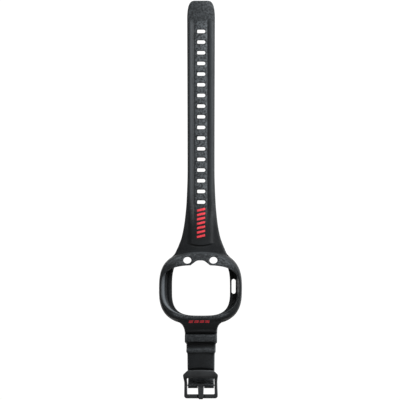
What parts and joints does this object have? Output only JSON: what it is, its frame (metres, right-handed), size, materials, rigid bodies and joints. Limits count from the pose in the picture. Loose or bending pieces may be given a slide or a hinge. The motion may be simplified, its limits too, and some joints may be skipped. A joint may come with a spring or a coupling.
{
  "type": "dive computer wrist strap with integral frame",
  "caption": "One-piece black rubber wrist strap with an integral frame that a wrist dive computer is pushed into, a slotted long strap, and a short strap with a tongue buckle on a spring bar.",
  "frame": {"origin": "middle of the whole part laid out flat, on the plane that its back lies on", "axes": "+X to the right seen from the display side, +Y towards the tip of the long strap, +Z away from the wrist"},
  "size_m": [0.0616, 0.299, 0.0105],
  "materials": {
    "strap_rubber": "satin moulded polyurethane, finely grained between the rails",
    "buckle_coating": "satin black coating on steel, worn a little on the edges",
    "spring_bar_steel": "turned stainless steel"
  },
  "bodies": {
    "frame": {"frame": "strap_rubber"},
    "long_strap_link_1": {"long_strap_link_1": "strap_rubber"},
    "long_strap_link_2": {"long_strap_link_2": "strap_rubber"},
    "long_strap_link_3": {"long_strap_link_3": "strap_rubber"},
    "long_strap_link_4": {"long_strap_link_4": "strap_rubber"},
    "long_strap_link_5": {"long_strap_link_5": "strap_rubber"},
    "long_strap_link_6": {"long_strap_link_6": "strap_rubber"},
    "long_strap_link_7": {"long_strap_link_7": "strap_rubber"},
    "long_strap_link_8": {"long_strap_link_8": "strap_rubber"},
    "long_strap_tip": {"long_strap_tip": "strap_rubber"},
    "short_strap_rib_link": {"short_strap_rib_link": "strap_rubber"},
    "short_strap_end": {"short_strap_end": "strap_rubber", "spring_bar_tube": "spring_bar_steel", "spring_bar_coil": "spring_bar_steel"},
    "buckle_frame": {"buckle_frame": "buckle_coating"},
    "buckle_tongue": {"buckle_tongue": "buckle_coating"},
    "spring_bar_tip_left": {"spring_bar_tip_left": "spring_bar_steel"},
    "spring_bar_tip_right": {"spring_bar_tip_right": "spring_bar_steel"}
  },
  "joints": [
    {"name": "long_strap_root_bend", "type": "hinge", "parent": "frame", "child": "long_strap_link_1", "pos_m": [0, -0.03345, 0], "axis": [-1, 0, 0], "range_deg": [-12, 35], "stiffness_Nm_per_rad": 0.12},
    {"name": "long_strap_bend_2", "type": "hinge", "parent": "long_strap_link_1", "child": "long_strap_link_2", "pos_m": [0, -0.00475, 0], "axis": [-1, 0, 0], "range_deg": [-12, 30], "stiffness_Nm_per_rad": 0.09},
    {"name": "long_strap_bend_3", "type": "hinge", "parent": "long_strap_link_2", "child": "long_strap_link_3", "pos_m": [0, 0.01835, 0], "axis": [-1, 0, 0], "range_deg": [-12, 30], "stiffness_Nm_per_rad": 0.06},
    {"name": "long_strap_bend_4", "type": "hinge", "parent": "long_strap_link_3", "child": "long_strap_link_4", "pos_m": [0, 0.03435, 0], "axis": [-1, 0, 0], "range_deg": [-12, 30], "stiffness_Nm_per_rad": 0.06},
    {"name": "long_strap_bend_5", "type": "hinge", "parent": "long_strap_link_4", "child": "long_strap_link_5", "pos_m": [0, 0.05035, 0], "axis": [-1, 0, 0], "range_deg": [-12, 30], "stiffness_Nm_per_rad": 0.06},
    {"name": "long_strap_bend_6", "type": "hinge", "parent": "long_strap_link_5", "child": "long_strap_link_6", "pos_m": [0, 0.06635, 0], "axis": [-1, 0, 0], "range_deg": [-12, 30], "stiffness_Nm_per_rad": 0.06},
    {"name": "long_strap_bend_7", "type": "hinge", "parent": "long_strap_link_6", "child": "long_strap_link_7", "pos_m": [0, 0.08235, 0], "axis": [-1, 0, 0], "range_deg": [-12, 30], "stiffness_Nm_per_rad": 0.06},
    {"name": "long_strap_bend_8", "type": "hinge", "parent": "long_strap_link_7", "child": "long_strap_link_8", "pos_m": [0, 0.09835, 0], "axis": [-1, 0, 0], "range_deg": [-12, 30], "stiffness_Nm_per_rad": 0.06},
    {"name": "long_strap_bend_9", "type": "hinge", "parent": "long_strap_link_8", "child": "long_strap_tip", "pos_m": [0, 0.11435, 0], "axis": [-1, 0, 0], "range_deg": [-12, 30], "stiffness_Nm_per_rad": 0.06},
    {"name": "short_strap_root_bend", "type": "hinge", "parent": "frame", "child": "short_strap_rib_link", "pos_m": [0, -0.10035, 0], "axis": [1, 0, 0], "range_deg": [-12, 35], "stiffness_Nm_per_rad": 0.1},
    {"name": "short_strap_rib_bend", "type": "hinge", "parent": "short_strap_rib_link", "child": "short_strap_end", "pos_m": [0, -0.10915, 0], "axis": [1, 0, 0], "range_deg": [-12, 30], "stiffness_Nm_per_rad": 0.08},
    {"name": "buckle_pivot", "type": "hinge", "parent": "short_strap_end", "child": "buckle_frame", "pos_m": [0, -0.13905, 0.0022], "axis": [1, 0, 0], "range_deg": [-12, 75]},
    {"name": "tongue_pivot", "type": "hinge", "parent": "buckle_frame", "child": "buckle_tongue", "pos_m": [0, -0.13905, 0.0022], "axis": [-1, 0, 0], "range_deg": [0, 110]},
    {"name": "spring_bar_right_tip_travel", "type": "slide", "parent": "short_strap_end", "child": "spring_bar_tip_right", "axis": [-1, 0, 0], "range_m": [0, 0.0012], "stiffness_N_per_m": 400, "springref_m": -0.0015, "deforming": ["spring_bar_coil"]},
    {"name": "spring_bar_left_tip_travel", "type": "slide", "parent": "short_strap_end", "child": "spring_bar_tip_left", "axis": [1, 0, 0], "range_m": [0, 0.0012], "stiffness_N_per_m": 400, "springref_m": -0.0015, "deforming": ["spring_bar_coil"]}
  ]
}
